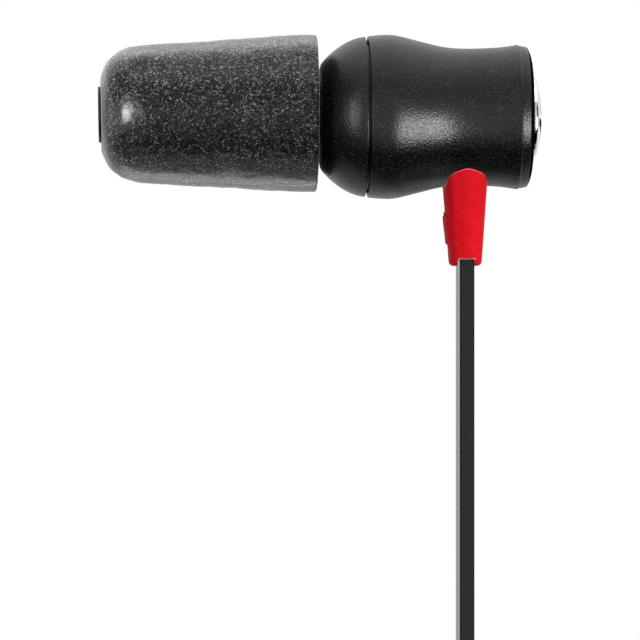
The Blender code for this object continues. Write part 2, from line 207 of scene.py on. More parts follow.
def shell_material(name="soft_touch_shell", gloss=0.5, tones=(0.0003, 0.0015, 0.014, 0.045)):
    """Soft-touch coat with a fine pebbled grain."""
    m, t, s = new_material(name)
    co = object_coords(t)
    grain = noise_tex(t, co, 0.15, 1.0, 0.5)
    patch = noise_tex(t, co, 1.6, 3.0, 0.55)
    colour = ramp(t, grain, list(zip((0.34, 0.5, 0.62, 0.75), map(grey, tones))))
    t.links.new(colour, s.inputs["Base Color"])
    rough = math_node(t, "ADD", remap(t, patch, 0.3, 0.7, -0.025, 0.03), remap(t, grain, 0.3, 0.7, 0.38, 0.26))
    t.links.new(rough, s.inputs["Roughness"])
    setup(s, Specular_IOR_Level=gloss)
    t.links.new(bump(t, grain, 1.0, 0.02), s.inputs["Normal"])
    return m


def relief_material(name="relief_red", low=(0.76, 0.008, 0.014), high=(0.88, 0.013, 0.024), rough=0.7):
    m, t, s = new_material(name)
    co = object_coords(t)
    patch = noise_tex(t, co, 0.7, 3.0, 0.55)
    grain = noise_tex(t, co, 0.11, 1.5, 0.6)
    tone = math_node(t, "ADD", math_node(t, "MULTIPLY", patch, 0.65), math_node(t, "MULTIPLY", grain, 0.35))
    t.links.new(ramp(t, tone, [(0.36, low), (0.64, high)]), s.inputs["Base Color"])
    t.links.new(remap(t, grain, 0.3, 0.7, rough * 0.9, rough * 1.1), s.inputs["Roughness"])
    setup(s, Specular_IOR_Level=0.03)
    t.links.new(bump(t, tone, 0.35, 0.02), s.inputs["Normal"])
    return m


def cord_material():
    m, t, s = new_material("cord_rubber")
    co = object_coords(t)
    streak = noise_tex(t, object_coords(t, (1.0, 1.0, 0.12)), 0.35, 2.0, 0.5)
    grain = noise_tex(t, co, 0.10, 2.0, 0.6)
    t.links.new(ramp(t, streak, [(0.3, grey(0.010)), (0.7, (0.016, 0.016, 0.0165))]), s.inputs["Base Color"])
    t.links.new(remap(t, grain, 0.3, 0.7, 0.24, 0.34), s.inputs["Roughness"])
    setup(s, Specular_IOR_Level=0.5)
    t.links.new(bump(t, grain, 0.25, 0.008), s.inputs["Normal"])
    return m


def chrome_material(name="badge_chrome", colour=(0.9, 0.9, 0.91), rough=(0.03, 0.08)):
    m, t, s = new_material(name)
    co = object_coords(t)
    smear = noise_tex(t, co, 0.9, 3.0, 0.6)
    s.inputs["Base Color"].default_value = (*colour, 1.0)
    s.inputs["Metallic"].default_value = 1.0
    t.links.new(remap(t, smear, 0.3, 0.7, *rough), s.inputs["Roughness"])
    t.links.new(bump(t, smear, 0.04, 0.01), s.inputs["Normal"])
    return m


def plain(name, low, high, rough, metal=0.0, size=0.4, bump_mm=0.01, strength=0.3, stretch=(1.0, 1.0, 1.0)):
    m, t, s = new_material(name)
    co = object_coords(t, stretch)
    f = noise_tex(t, co, size, 3.0, 0.6)
    t.links.new(ramp(t, f, [(0.3, low), (0.7, high)]), s.inputs["Base Color"])
    t.links.new(remap(t, f, 0.3, 0.7, rough * 0.85, min(rough * 1.15, 1.0)), s.inputs["Roughness"])
    s.inputs["Metallic"].default_value = metal
    t.links.new(bump(t, f, strength, bump_mm), s.inputs["Normal"])
    return m


def strap_material():
    """Hook-and-loop strap: a nap of fine loops over a ribbed woven base."""
    m, t, s = new_material("strap_fabric")
    co = object_coords(t)
    fuzz = noise_tex(t, co, 0.16, 4.0, 0.75)
    loops = noise_tex(t, object_coords(t, (1.0, 1.0, 2.6)), 0.3, 2.0, 0.6)
    patch = noise_tex(t, co, 2.2, 2.0, 0.5)
    ribs = t.nodes.new("ShaderNodeTexWave")
    ribs.bands_direction = "Z"
    ribs.inputs["Scale"].default_value = 0.31 / (0.5 * MM)
    ribs.inputs["Distortion"].default_value = 0.6
    t.links.new(co, ribs.inputs["Vector"])
    tone = math_node(t, "ADD", math_node(t, "MULTIPLY", fuzz, 0.6), math_node(t, "MULTIPLY", loops, 0.4))
    tone = math_node(t, "ADD", tone, remap(t, ribs.outputs["Fac"], 0.0, 1.0, -0.03, 0.03))
    tone = math_node(t, "ADD", tone, remap(t, patch, 0.3, 0.7, -0.02, 0.02))
    t.links.new(ramp(t, tone, [(0.36, grey(0.006)), (0.5, grey(0.02)), (0.62, grey(0.06)), (0.74, grey(0.16))]),
                s.inputs["Base Color"])
    setup(s, Roughness=0.9, Specular_IOR_Level=0.2, Sheen_Weight=0.7, Sheen_Roughness=0.35)
    n1 = bump(t, ribs.outputs["Fac"], 0.4, 0.05)
    n2 = bump(t, loops, 0.8, 0.1, n1)
    t.links.new(bump(t, fuzz, 0.9, 0.06, n2), s.inputs["Normal"])
    return m


# the foam's front lip: a smoother skin whose pale grey is a painted rim light
FOAM_SKIN_PAINTED_RIM = plain("foam_skin_painted_rim", grey(0.16), grey(0.34), 0.4, 0.0, 0.16, 0.012, 0.5)
SHELL_END = shell_material("soft_touch_end", 0.0, (0.001, 0.0025, 0.007, 0.014))
# a paler pink for the saddle and mouth edges of the strain relief: a painted highlight
RELIEF_PAINTED_HIGHLIGHT = relief_material("relief_red_painted_highlight", (0.92, 0.22, 0.24), (0.98, 0.34, 0.36), 0.5)
MAT = {
    "memory_foam": foam_material(),
    "soft_touch_shell": shell_material(),
    "relief_red": relief_material(),
    "cord_rubber": cord_material(),
    "badge_chrome": chrome_material(),
    "strap_fabric": strap_material(),
    "core_rubber": plain("core_rubber", grey(0.006), grey(0.014), 0.5, 0.0, 0.2),
    "nozzle_plastic": plain("nozzle_plastic", grey(0.007), grey(0.013), 0.34, 0.0, 0.25),
    "steel_mesh": plain("steel_mesh", grey(0.42), grey(0.6), 0.32, 1.0, 0.3),
    "driver_steel": plain("driver_steel", grey(0.4), grey(0.55), 0.3, 1.0, 0.5, stretch=(1, 1, 6)),
    "frame_brass": plain("frame_brass", (0.62, 0.45, 0.2), (0.8, 0.62, 0.32), 0.32, 1.0, 0.5),
    "plug_gold": chrome_material("plug_gold", (0.94, 0.68, 0.30), (0.12, 0.2)),
    "diaphragm_film": plain("diaphragm_film", (0.5, 0.44, 0.32), (0.62, 0.56, 0.42), 0.25, 0.0, 0.6),
    "coil_copper": plain("coil_copper", (0.6, 0.24, 0.12), (0.82, 0.42, 0.25), 0.35, 1.0, 0.08, 0.03, 0.6, (8, 1, 1)),
    "magnet_nickel": chrome_material("magnet_nickel", (0.66, 0.65, 0.63), (0.18, 0.28)),
    "board_green": plain("board_green", (0.015, 0.12, 0.05), (0.03, 0.2, 0.09), 0.4, 0.0, 0.6),
    "damper_felt": plain("damper_felt", grey(0.5), grey(0.78), 0.95, 0.0, 0.15, 0.06, 0.9),
    "plug_insulator": plain("plug_insulator", grey(0.008), grey(0.014), 0.35, 0.0, 0.3),
    "wire_red": plain("wire_red", (0.45, 0.02, 0.015), (0.62, 0.035, 0.025), 0.35, 0.0, 0.3),
    "wire_green": plain("wire_green", (0.02, 0.25, 0.07), (0.04, 0.38, 0.12), 0.35, 0.0, 0.3),
}


# ------------------------------------------------------------------ mesh helpers
def make_mesh(name, verts, faces, sharp=38.0):
    """A mesh in metres from points in millimetres, with its faces turned outwards."""
    mesh = bpy.data.meshes.new(name)
    mesh.from_pydata([(x * MM, y * MM, z * MM) for x, y, z in verts], [], faces)
    bm = bmesh.new()
    bm.from_mesh(mesh)
    bmesh.ops.recalc_face_normals(bm, faces=bm.faces)
    bm.to_mesh(mesh)
    bm.free()
    mesh.shade_smooth()
    mesh.set_sharp_from_angle(angle=math.radians(sharp))
    return mesh


def moved(mesh, side, name, tip=False):
    copy = mesh.copy()
    copy.name = name
    x, y, z = SHIFT[side]
    copy.transform(Matrix.Translation(Vector((x - (TIP_OUT[side] if tip else 0.0), y, z)) * MM))
    return copy


def piece(name, mesh, slot, body="root", replaces=(), edge=None):
    o = bpy.data.objects.new(name, mesh)
    bpy.context.scene.collection.objects.link(o)
    marks = [p.material_index for p in mesh.polygons] if edge else None
    mesh.materials.clear()
    mesh.materials.append(MAT[slot])
    if edge:
        mesh.materials.append(edge)
        mesh.polygons.foreach_set("material_index", marks)
    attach(o, body)
    if replaces:
        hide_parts(*replaces)
    return o


def smooth_curve(points, step):
    """Centripetal Catmull-Rom through 2-D or 3-D points, about one point per step."""
    pts = [Vector(p) for p in points]
    pts = [pts[0] * 2 - pts[1]] + pts + [pts[-1] * 2 - pts[-2]]
    out = []
    for p0, p1, p2, p3 in zip(pts, pts[1:], pts[2:], pts[3:]):
        t0 = 0.0
        t1 = t0 + max((p1 - p0).length, 1e-9) ** 0.5
        t2 = t1 + max((p2 - p1).length, 1e-9) ** 0.5
        t3 = t2 + max((p3 - p2).length, 1e-9) ** 0.5
        n = max(1, round((p2 - p1).length / step))
        for i in range(n):
            t = t1 + (t2 - t1) * i / n
            a1 = p0 * ((t1 - t) / (t1 - t0)) + p1 * ((t - t0) / (t1 - t0))
            a2 = p1 * ((t2 - t) / (t2 - t1)) + p2 * ((t - t1) / (t2 - t1))
            a3 = p2 * ((t3 - t) / (t3 - t2)) + p3 * ((t - t2) / (t3 - t2))
            b1 = a1 * ((t2 - t) / (t2 - t0)) + a2 * ((t - t0) / (t2 - t0))
            b2 = a2 * ((t3 - t) / (t3 - t1)) + a3 * ((t - t1) / (t3 - t1))
            out.append(tuple(b1 * ((t2 - t) / (t2 - t1)) + b2 * ((t - t1) / (t2 - t1))))
    out.append(tuple(pts[-2]))
    return out


def line(a, b, step):
    n = max(1, round(math.dist(a, b) / step))
    return [tuple(p + (q - p) * i / n for p, q in zip(a, b)) for i in range(n)]


def fillet(points, radius, steps=4):
    """An open chain of 2-D points with each inner corner rounded; radius is one number or one per point."""
    out = [tuple(points[0])]
    for k in range(1, len(points) - 1):
        r = radius[k] if isinstance(radius, (list, tuple)) else radius
        p, q, s = Vector(points[k - 1]), Vector(points[k]), Vector(points[k + 1])
        a, b = (p - q), (s - q)
        la, lb = a.length, b.length
        if r <= 0 or la < 1e-6 or lb < 1e-6:
            out.append(tuple(q))
            continue
        a, b = a / la, b / lb
        angle = math.acos(max(-1, min(1, a.dot(b))))
        if angle > math.radians(176):
            out.append(tuple(q))
            continue
        cut = min(r / math.tan(angle / 2), la * 0.48, lb * 0.48)
        p0, p1 = q + a * cut, q + b * cut
        for i in range(steps + 1):
            t = i / steps
            out.append(tuple(p0 * (1 - t) ** 2 + q * 2 * t * (1 - t) + p1 * t * t))
    out.append(tuple(points[-1]))
    return out


def lathe(name, profile, segs, ring, axis="x", centre=(0.0, 0.0, 0.0), shape=None):
    """(along, r) points turned about an axis; a ring profile closes on itself, and r=0 makes a pole."""
    verts, rows = [], []
    for a, r in profile:
        if r < 1e-6:
            rows.append([len(verts)])
            verts.append((a, 0.0, 0.0))
            continue
        row = []
        for j in range(segs):
            th = 2 * math.pi * j / segs
            rr, aa, dz = (r, a, 0.0) if shape is None else shape(a, r, th)
            row.append(len(verts))
            verts.append((aa, rr * math.sin(th), rr * math.cos(th) + dz))
        rows.append(row)
    if axis == "-z":
        verts = [(y, z, -x) for x, y, z in verts]
    cx, cy, cz = centre
    verts = [(x + cx, y + cy, z + cz) for x, y, z in verts]
    faces = []
    pairs = list(zip(rows, rows[1:])) + ([(rows[-1], rows[0])] if ring else [])
    for lo, hi in pairs:
        for j in range(segs):
            k = (j + 1) % segs
            if len(lo) == 1 and len(hi) == 1:
                continue
            if len(lo) == 1:
                faces.append((lo[0], hi[k], hi[j]))
            elif len(hi) == 1:
                faces.append((lo[j], lo[k], hi[0]))
            else:
                faces.append((lo[j], lo[k], hi[k], hi[j]))
    return make_mesh(name, verts, faces)


def loft(name, rings, sharp=38.0, fan=True):
    verts, faces = [], []
    count = len(rings[0])
    for ring in rings:
        verts += ring
    for i in range(len(rings) - 1):
        for j in range(count):
            k = (j + 1) % count
            faces.append((i * count + j, i * count + k, (i + 1) * count + k, (i + 1) * count + j))
    for start, flip in ((0, True), ((len(rings) - 1) * count, False)):
        ids = list(range(start, start + count))
        if fan:
            centre = len(verts)
            verts.append(tuple(sum(verts[i][k] for i in ids) / count for k in range(3)))
            faces += [(ids[j], ids[(j + 1) % count], centre) for j in range(count)]
        else:
            faces.append(tuple(ids))
    return make_mesh(name, verts, faces, sharp)


def super_oval(half_x, half_y, count, power=2.4):
    out = []
    for i in range(count):
        a = 2 * math.pi * i / count
        c, s = math.cos(a), math.sin(a)
        out.append((half_x * math.copysign(abs(c) ** (2 / power), c), half_y * math.copysign(abs(s) ** (2 / power), s)))
    return out


def rounded_rect(half_x, half_y, r, steps=4, side=1):
    pts = []
    for cx, cy, start in ((1, 1, 0), (-1, 1, 90), (-1, -1, 180), (1, -1, 270)):
        corner = [(cx * (half_x - r) + r * math.cos(math.radians(start + 90 * i / steps)),
                   cy * (half_y - r) + r * math.sin(math.radians(start + 90 * i / steps))) for i in range(steps + 1)]
        if pts and side > 1:
            a, b = pts[-1], corner[0]
            pts += [(a[0] + (b[0] - a[0]) * k / side, a[1] + (b[1] - a[1]) * k / side) for k in range(1, side)]
        pts += corner
    if side > 1:
        a, b = pts[-1], pts[0]
        pts += [(a[0] + (b[0] - a[0]) * k / side, a[1] + (b[1] - a[1]) * k / side) for k in range(1, side)]
    return pts


def boolean_cut(mesh, cutters, name):
    """The mesh with each cutter taken out of it."""
    o = bpy.data.objects.new("tmp_target", mesh)
    bpy.context.scene.collection.objects.link(o)
    tools = []
    for i, c in enumerate(cutters):
        tool = bpy.data.objects.new("tmp_tool_%d" % i, c)
        bpy.context.scene.collection.objects.link(tool)
        mod = o.modifiers.new("cut_%d" % i, "BOOLEAN")
        mod.operation = "DIFFERENCE"
        mod.solver = "EXACT"
        mod.object = tool
        tools.append(tool)
    bpy.context.view_layer.update()
    out = bpy.data.meshes.new_from_object(o.evaluated_get(bpy.context.evaluated_depsgraph_get()))
    out.name = name
    for x in [o] + tools:
        bpy.data.objects.remove(x)
    out.shade_smooth()
    out.set_sharp_from_angle(angle=math.radians(38))
    return out


def smoothstep(a, b, x):
    t = min(max((x - a) / (b - a), 0.0), 1.0)
    return t * t * (3 - 2 * t)


# ------------------------------------------------------------------ earpiece meshes
def lean_at(a):
    """The tip's front end leans a touch, its top edge forward."""
    return 0.017 * (1 - smoothstep(1.5, 8.0, a))


def foam_mesh():
    front = smooth_curve([(0.2, 2.8), (0.28, 3.07), (0.42, 3.41), (0.58, 3.78), (0.73, 4.01), (0.88, 4.19), (1.04, 4.36),
                          (1.35, 4.60), (1.65, 4.81), (2.05, 5.0), (2.5, 5.13), (3.2, 5.25), (4.2, 5.345), (5.9, 5.45),
                          (8.2, 5.58), (10.5, 5.73), (12.8, 5.90), (14.6, 5.985), (16.35, 6.03)], 0.13)
    rear = smooth_curve([(16.35, 6.03), (16.6, 6.035), (16.69, 6.0), (16.735, 5.94), (16.75, 5.84), (16.75, 5.5)], 0.05)
    profile = ([(0.6, 2.44), (0.34, 2.46), (0.24, 2.52), (0.2, 2.62)] + front[:-1] + rear[:-1]
               + line((16.75, 5.5), (16.75, 2.6), 0.3) + [(16.75, 2.6), (16.7, 2.48), (16.5, 2.44)]
               + line((16.2, 2.44), (0.9, 2.44), 0.9))

    def shape(a, r, th):
        if r < 2.6 or (a < 16 and r < 2.45):
            return r, a, 0.0
        p = Vector((a, r * math.sin(th), r * math.cos(th)))
        soft = noise.noise(p * 0.35) * 0.05 + noise.noise(p * 0.9 + Vector((7, 3, 1))) * 0.035
        cells = noise.noise(p * 3.2 + Vector((1, 9, 4))) * 0.018 + noise.noise(p * 6.0) * 0.014
        push = (soft + cells) * smoothstep(2.6, 3.3, r)
        lift = (0.17 + 0.0065 * max(a - 3.0, 0.0)) * smoothstep(2.4, 3.2, r)      # the foam sits a little high on its core
        lean = -lean_at(a) * r * math.cos(th)
        if a > 16.6:
            return r + push * 0.4, a + push * 0.5, lift
        return r + push, a + lean, lift
    mesh = lathe("foam_tip", profile, 224, True, shape=shape)
    # a thin smoother skin closes the foam round its core; its pale grey is a painted rim light
    for p in mesh.polygons:
        x, y, z = p.center / MM
        p.material_index = 1 if x < 0.37 and 2.5 < math.hypot(y, z - 0.17) < 2.95 else 0
    return mesh


def core_mesh():
    profile = fillet([(0.6, 1.4), (0.0, 1.4), (0.0, 2.16), (0.34, 2.16), (0.34, 2.43), (16.5, 2.43), (16.5, 1.95), (8.5, 1.95),
                      (8.3, 1.4), (0.6, 1.4)], [0, 0.1, 0.09, 0.04, 0.05, 0.15, 0.15, 0.1, 0.1, 0], 4)
    dense = []
    for p, q in zip(profile, profile[1:]):
        dense += line(p, q, 0.9)
    return lathe("tip_core", dense, 96, True,
                 shape=lambda a, r, th: (r, a - lean_at(a) * r * math.cos(th), 0.14 * (1 - smoothstep(0.0, 9.0, a))))


def nozzle_mesh_solid():
    profile = fillet([(12.0, 1.2), (9.08, 1.2), (9.08, 1.62), (9.35, 1.78), (10.7, 1.93), (10.95, 1.93), (11.05, 1.78),
                      (13.6, 1.78), (13.7, 1.86), (14.0, 1.86), (14.1, 1.78), (18.0, 1.78), (18.0, 3.3), (18.7, 3.3), (18.7, 1.6),
                      (18.2, 1.2), (12.0, 1.2)], 0.06, 3)
    return lathe("nozzle", profile[:-1], 80, True)


def woven_disc(x, radius, pitch, wire):
    """A round woven wire screen with a rim, as one joined set of thin bars."""
    verts, faces = [], []

    def bar(points, r, sides=6):
        start = len(verts)
        for i, p in enumerate(points):
            q = points[min(i + 1, len(points) - 1)]
            o = points[max(i - 1, 0)]
            t = (Vector(q) - Vector(o)).normalized()
            u = Vector((1, 0, 0))
            v = t.cross(u).normalized()
            u = v.cross(t).normalized()
            for k in range(sides):
                a = 2 * math.pi * k / sides
                verts.append(tuple(Vector(p) + (u * math.cos(a) + v * math.sin(a)) * r))
        n = len(points)
        for i in range(n - 1):
            for k in range(sides):
                kk = (k + 1) % sides
                faces.append((start + i * sides + k, start + i * sides + kk, start + (i + 1) * sides + kk,
                              start + (i + 1) * sides + k))
        faces.append(tuple(start + k for k in range(sides)))
        faces.append(tuple(start + (n - 1) * sides + k for k in range(sides)))

    count = int(radius / pitch)
    for axis in (0, 1):
        for i in range(-count, count + 1):
            c = i * pitch
            half = math.sqrt(max(radius * radius - c * c, 0)) - wire
            if half < pitch:
                continue
            steps = max(4, int(4 * half / pitch))
            pts = []
            for s in range(steps + 1):
                d = -half + 2 * half * s / steps
                wave = math.cos(math.pi * d / pitch) * wire * 0.9 * (1 if (i + axis) % 2 else -1)
                pts.append((x + wave, c, d) if axis else (x + wave, d, c))
            bar(pts, wire * 0.8)
    screen = make_mesh("screen", verts, faces)
    rim = lathe("rim", fillet([(x - 0.09, radius - 0.16), (x - 0.09, radius), (x + 0.09, radius), (x + 0.09, radius - 0.16)], 0.02),
                64, True)
    bm = bmesh.new()
    bm.from_mesh(screen)
    bm.from_mesh(rim)
    out = bpy.data.meshes.new("nozzle_mesh")
    bm.to_mesh(out)
    bm.free()
    out.shade_smooth()
    return out


def front_shell_mesh():
    outer = smooth_curve([(17.0, 3.5), (17.02, 3.74), (17.07, 3.95), (17.19, 4.17), (17.35, 4.36), (17.5, 4.52), (17.81, 4.83),
                          (18.12, 5.09), (18.42, 5.32), (18.75, 5.54), (19.1, 5.74), (19.5, 5.92), (19.9, 6.055),
                          (20.25, 6.125)], 0.09)
    lip = smooth_curve([(20.25, 6.125), (20.4, 6.152), (20.475, 6.14), (20.5, 6.09)], 0.03)
    inner = [(20.5, 5.8), (20.52, 5.57), (21.45, 5.56), (21.5, 5.51), (21.5, 5.26), (20.35, 5.2), (19.5, 4.97), (18.75, 4.6),
             (18.12, 4.15), (17.9, 3.9), (17.9, 2.0)]
    profile = [(17.07, 1.98), (17.0, 2.06)] + line((17.0, 2.2), (17.0, 3.5), 0.3) + outer[:-1] + lip + inner
    return lathe("front_housing", profile, 200, True)


BARREL = [(20.95, 6.23), (21.35, 6.275), (21.66, 6.295), (22.0, 6.31), (22.28, 6.315), (22.6, 6.295), (22.89, 6.255),
          (23.51, 6.12), (24.12, 5.965), (24.74, 5.805), (25.36, 5.65), (25.97, 5.50), (26.59, 5.385), (27.2, 5.31),
          (27.82, 5.275), (28.44, 5.265), (29.05, 5.275), (29.7, 5.30), (30.28, 5.33), (30.9, 5.37), (31.52, 5.45),
          (31.9, 5.515), (32.2, 5.56)]


def shell_radius(x):
    for (xa, ra), (xb, rb) in zip(BARREL, BARREL[1:]):
        if xa <= x <= xb:
            return ra + (rb - ra) * (x - xa) / (xb - xa)
    return BARREL[0][1] if x < BARREL[0][0] else BARREL[-1][1]


def rear_shell_mesh():
    lip = smooth_curve([(20.7, 6.13), (20.725, 6.18), (20.79, 6.21), (20.95, 6.23)], 0.03)
    barrel = smooth_curve(BARREL, 0.12)
    # a crisp step starts the rim band, which ends in a second small edge before the end face
    band = [(32.235, 5.562), (32.262, 5.545), (32.285, 5.515)] + line((32.3, 5.505), (32.88, 5.397), 0.1)
    turn = smooth_curve([(32.88, 5.397), (32.94, 5.37), (32.985, 5.315), (33.06, 5.17), (33.14, 4.98), (33.2, 4.8), (33.25, 4.55),
                         (33.27, 4.3)], 0.05)
    end = [(33.27, 4.3), (33.27, 3.9), (33.27, 3.5), (33.26, 3.24), (33.2, 3.15), (33.0, 3.13), (32.75, 3.13)]
    floor = [(32.75, 2.0), (32.75, 1.0), (32.75, 0.0)]
    inner = [(31.9, 0.0), (31.9, 2.5), (31.9, 4.3), (31.6, 4.55), (30.0, 4.4), (28.4, 4.32), (27.0, 4.38), (25.5, 4.7),
             (24.0, 5.1), (22.4, 5.4), (21.85, 5.45), (21.8, 5.82), (20.74, 5.84), (20.7, 5.9)]
    profile = lip[:-1] + barrel + band + turn[:-1] + end + floor + inner
    # one closed chain: it touches the axis twice, outside and inside the end wall
    mesh = lathe("rear_housing", profile, 200, True)
    hole = loft("neck_hole", [[(28.2 + 1.3 * math.cos(2 * math.pi * i / 48), 1.3 * math.sin(2 * math.pi * i / 48), z)
                               for i in range(48)] for z in (-7.0, -3.2)], fan=False)
    mesh = boolean_cut(mesh, [hole], "rear_housing")
    for p in mesh.polygons:
        x, y, z = p.center / MM
        p.material_index = 1 if x > 32.96 and math.hypot(y, z) > 3.2 else 0
    return mesh


def badge_mesh():
    profile = [(32.85, 0.0), (32.85, 1.5)] + fillet([(32.85, 3.0), (32.85, 3.05), (33.5, 3.05), (33.56, 3.035)], 0.03, 4)
    dome = smooth_curve([(33.56, 3.035), (33.64, 2.97), (33.69, 2.86), (33.74, 2.68), (33.822, 2.35), (33.925, 1.85), (34.006, 1.35),
                         (34.067, 0.8), (34.0955, 0.3), (34.1, 0.0)], 0.08)
    return lathe("rear_badge", profile + dome[1:], 160, False)


RELIEF_X, RELIEF_HALF = 28.2, 1.63


def relief_half(z):
    t = min(max((-5.2 - z) / 6.2, 0.0), 1.0)
    return RELIEF_HALF - 0.43 * t, 3.6 - 1.05 * t, RELIEF_X + 0.03 * t


def relief_outline(half_x, half_y, count):
    """A squarish oval whose front and back faces come to a gentle crown."""
    return [(x, y * (1 - 0.05 * smoothstep(0.0, 0.55, abs(x) / half_x))) for x, y in super_oval(half_x, half_y, count, 4.0)]


def relief_mesh():
    count = 168
    rings = []

    def ring_at(z, inset, zfun=None):
        hx, hy, cx = relief_half(z)
        out = []
        for x, y in relief_outline(hx - inset, hy - inset, count):
            pad = smoothstep(-9.86, -9.7, z) * (1 - smoothstep(-7.62, -7.5, z)) * (1 - smoothstep(1.9, 2.35, abs(y)))
            if x < 0:
                x -= (0.2 - 0.05 * smoothstep(-8.0, -9.5, z)) * pad * smoothstep(0.0, 0.5, -x)
            out.append((cx + x, y, z if zfun is None else zfun(cx + x, y)))
        return out

    # bottom face, rounded edge, side wall
    for s in (0.35, 0.62, 0.82):
        hx, hy, cx = relief_half(-11.46)
        rings.append([(cx + x * s, y * s, -11.46) for x, y in relief_outline(hx - 0.34, hy - 0.34, count)])
    for k in range(7):
        a = math.pi / 2 * k / 6
        rings.append(ring_at(-11.46 + 0.34 * (1 - math.cos(a)), 0.34 * (1 - math.sin(a))))
    z = -11.04
    while z < -6.3:
        rings.append(ring_at(z, 0.0))
        z += 0.075
    # the upper wall climbs to the saddle edge

    def saddle(x, y, gap):
        r = shell_radius(x) + gap
        return -math.sqrt(max(r * r - y * y, 0.01))

    z0 = z
    steps = 14
    for k in range(steps + 1):
        t = k / steps
        out = []
        for x, y in relief_outline(1.0, 1.0, count):
            top = saddle(RELIEF_X + x * RELIEF_HALF, y * 3.6, 0.27)
            zz = z0 + (top - z0) * t
            hx, hy, cx = relief_half(min(zz, -5.2))
            out.append((cx + x * hx, y * hy, zz))
        rings.append(out)
    for inset, gap in ((0.0, 0.19), (0.012, 0.15), (0.036, 0.12), (0.075, 0.1), (0.13, 0.09)):
        out = []
        for x, y in relief_outline(RELIEF_HALF - inset, 3.6 - inset, count):
            out.append((RELIEF_X + x, y, saddle(RELIEF_X + x, y, gap)))
        rings.append(out)
    for s in (0.86, 0.74, 0.62, 0.5):
        out = []
        for x, y in relief_outline((RELIEF_HALF - 0.13) * s, 3.47 * s, count):
            out.append((RELIEF_X + x, y, saddle(RELIEF_X + x, y, 0.09)))
        rings.append(out)
    neck = []
    for i in range(count):
        a = 2 * math.pi * i / count
        neck.append((RELIEF_X + math.cos(a) * 1.0, math.sin(a) * 1.0))
    rings.append([(x, y, saddle(x, y, 0.09)) for x, y in neck])
    rings.append([(x, y, -3.2) for x, y in neck])
    rings.append([(RELIEF_X + (x - RELIEF_X) * 0.9, y * 0.9, -3.1) for x, y in neck])
    body = loft("strain_relief", rings)

    # the mouth for the cord: a slot across the bottom, its edges eased at both walls
    def box_ring(y, grow):
        lo, hi, top = -0.76 - grow, 0.56 + grow, -10.98 + grow
        pts = [(lo, -13.0), (lo, top - 0.12), (lo + 0.04, top - 0.03), (lo + 0.12, top),
               (hi - 0.12, top), (hi - 0.04, top - 0.03), (hi, top - 0.12), (hi, -13.0)]
        return [(28.26 + x, y, z) for x, z in pts]
    slot = loft("mouth", [box_ring(-4.0, 0.06), box_ring(-2.53, 0.06), box_ring(-2.46, 0.0),
                          box_ring(2.46, 0.0), box_ring(2.53, 0.06), box_ring(4.0, 0.06)], fan=False)
    mesh = boolean_cut(body, [slot], "strain_relief")
    # the thin edges of the saddle and of the mouth take a paler pink, a painted highlight along them
    for p in mesh.polygons:
        x, y, z = p.center / MM
        edge = saddle(x, y, 0.0) - z
        on_saddle = z > -6.2 and edge < 0.255 and math.hypot((x - RELIEF_X) / RELIEF_HALF, y / 3.6) > 0.9
        on_mouth = -11.0 < z < -10.87 and 2.45 < abs(y) < 2.535 and -0.8 < x - 28.26 < 0.62
        p.material_index = 1 if on_saddle or on_mouth else 0
    return mesh


foam0, core0, nozzle0 = foam_mesh(), core_mesh(), nozzle_mesh_solid()
screen0 = woven_disc(8.94, 1.72, 0.2, 0.035)
front0, rear0, badge0, relief0 = front_shell_mesh(), rear_shell_mesh(), badge_mesh(), relief_mesh()

foams, shells, badges, reliefs = {}, [], [], []
for side in SIDES:
    tip = "ear_tip_" + side
    foams[side] = piece("foam_" + side, moved(foam0, side, "foam_" + side, True), "memory_foam", tip, ["foam_tip_" + side],
                        FOAM_SKIN_PAINTED_RIM)
    piece("core_" + side, moved(core0, side, "core_" + side, True), "core_rubber", tip, ["tip_core_" + side])
    piece("stem_" + side, moved(nozzle0, side, "stem_" + side), "nozzle_plastic", "root", ["nozzle_" + side])
    piece("screen_" + side, moved(screen0, side, "screen_" + side), "steel_mesh", "root", ["nozzle_mesh_" + side])
    shells.append(piece("front_shell_" + side, moved(front0, side, "front_shell_" + side), "soft_touch_shell", "root",
                        ["front_housing_" + side]))
    shells.append(piece("rear_shell_" + side, moved(rear0, side, "rear_shell_" + side), "soft_touch_shell", "root",
                        ["rear_housing_" + side], SHELL_END))
    badges.append(piece("badge_" + side, moved(badge0, side, "badge_" + side), "badge_chrome", "root",
                        ["rear_badge_" + side]))
    relief = piece("relief_" + side, moved(relief0, side, "relief_" + side), "relief_red", "root", ["strain_relief_" + side],
                   RELIEF_PAINTED_HIGHLIGHT)
    relief.visible_glossy = False
    reliefs.append(relief)


# ------------------------------------------------------------------ cord routes
HX, HZ = 28.9, -97.0
LOOP_R, RUN_HALF, WAIST, LAYER = 12.2, 35.0, 1.0, 1.3
CORD_THICK, CORD_WIDE = 1.13, 3.65


def run_x(z):
    return WAIST + (LOOP_R - WAIST) * (1 - math.cos(math.pi * abs(z) / RUN_HALF)) / 2


_run = [(0.0, RUN_HALF)]
for _i in range(1, 401):
    _z = RUN_HALF - 2 * RUN_HALF * _i / 400
    _run.append((_run[-1][0] + math.hypot(run_x(_z) - run_x(_run[-1][1]), 2 * RUN_HALF / 400), _z))
RUN_LONG = _run[-1][0]
SEMI = math.pi * LOOP_R
TURN = 2 * (SEMI + RUN_LONG)


def run_z(d):
    i = min(int(d / RUN_LONG * 400), 399)
    while i > 0 and _run[i][0] > d:
        i -= 1
    while i < 399 and _run[i + 1][0] < d:
        i += 1
    (a, za), (b, zb) = _run[i], _run[i + 1]
    return za + (zb - za) * (d - a) / (b - a)


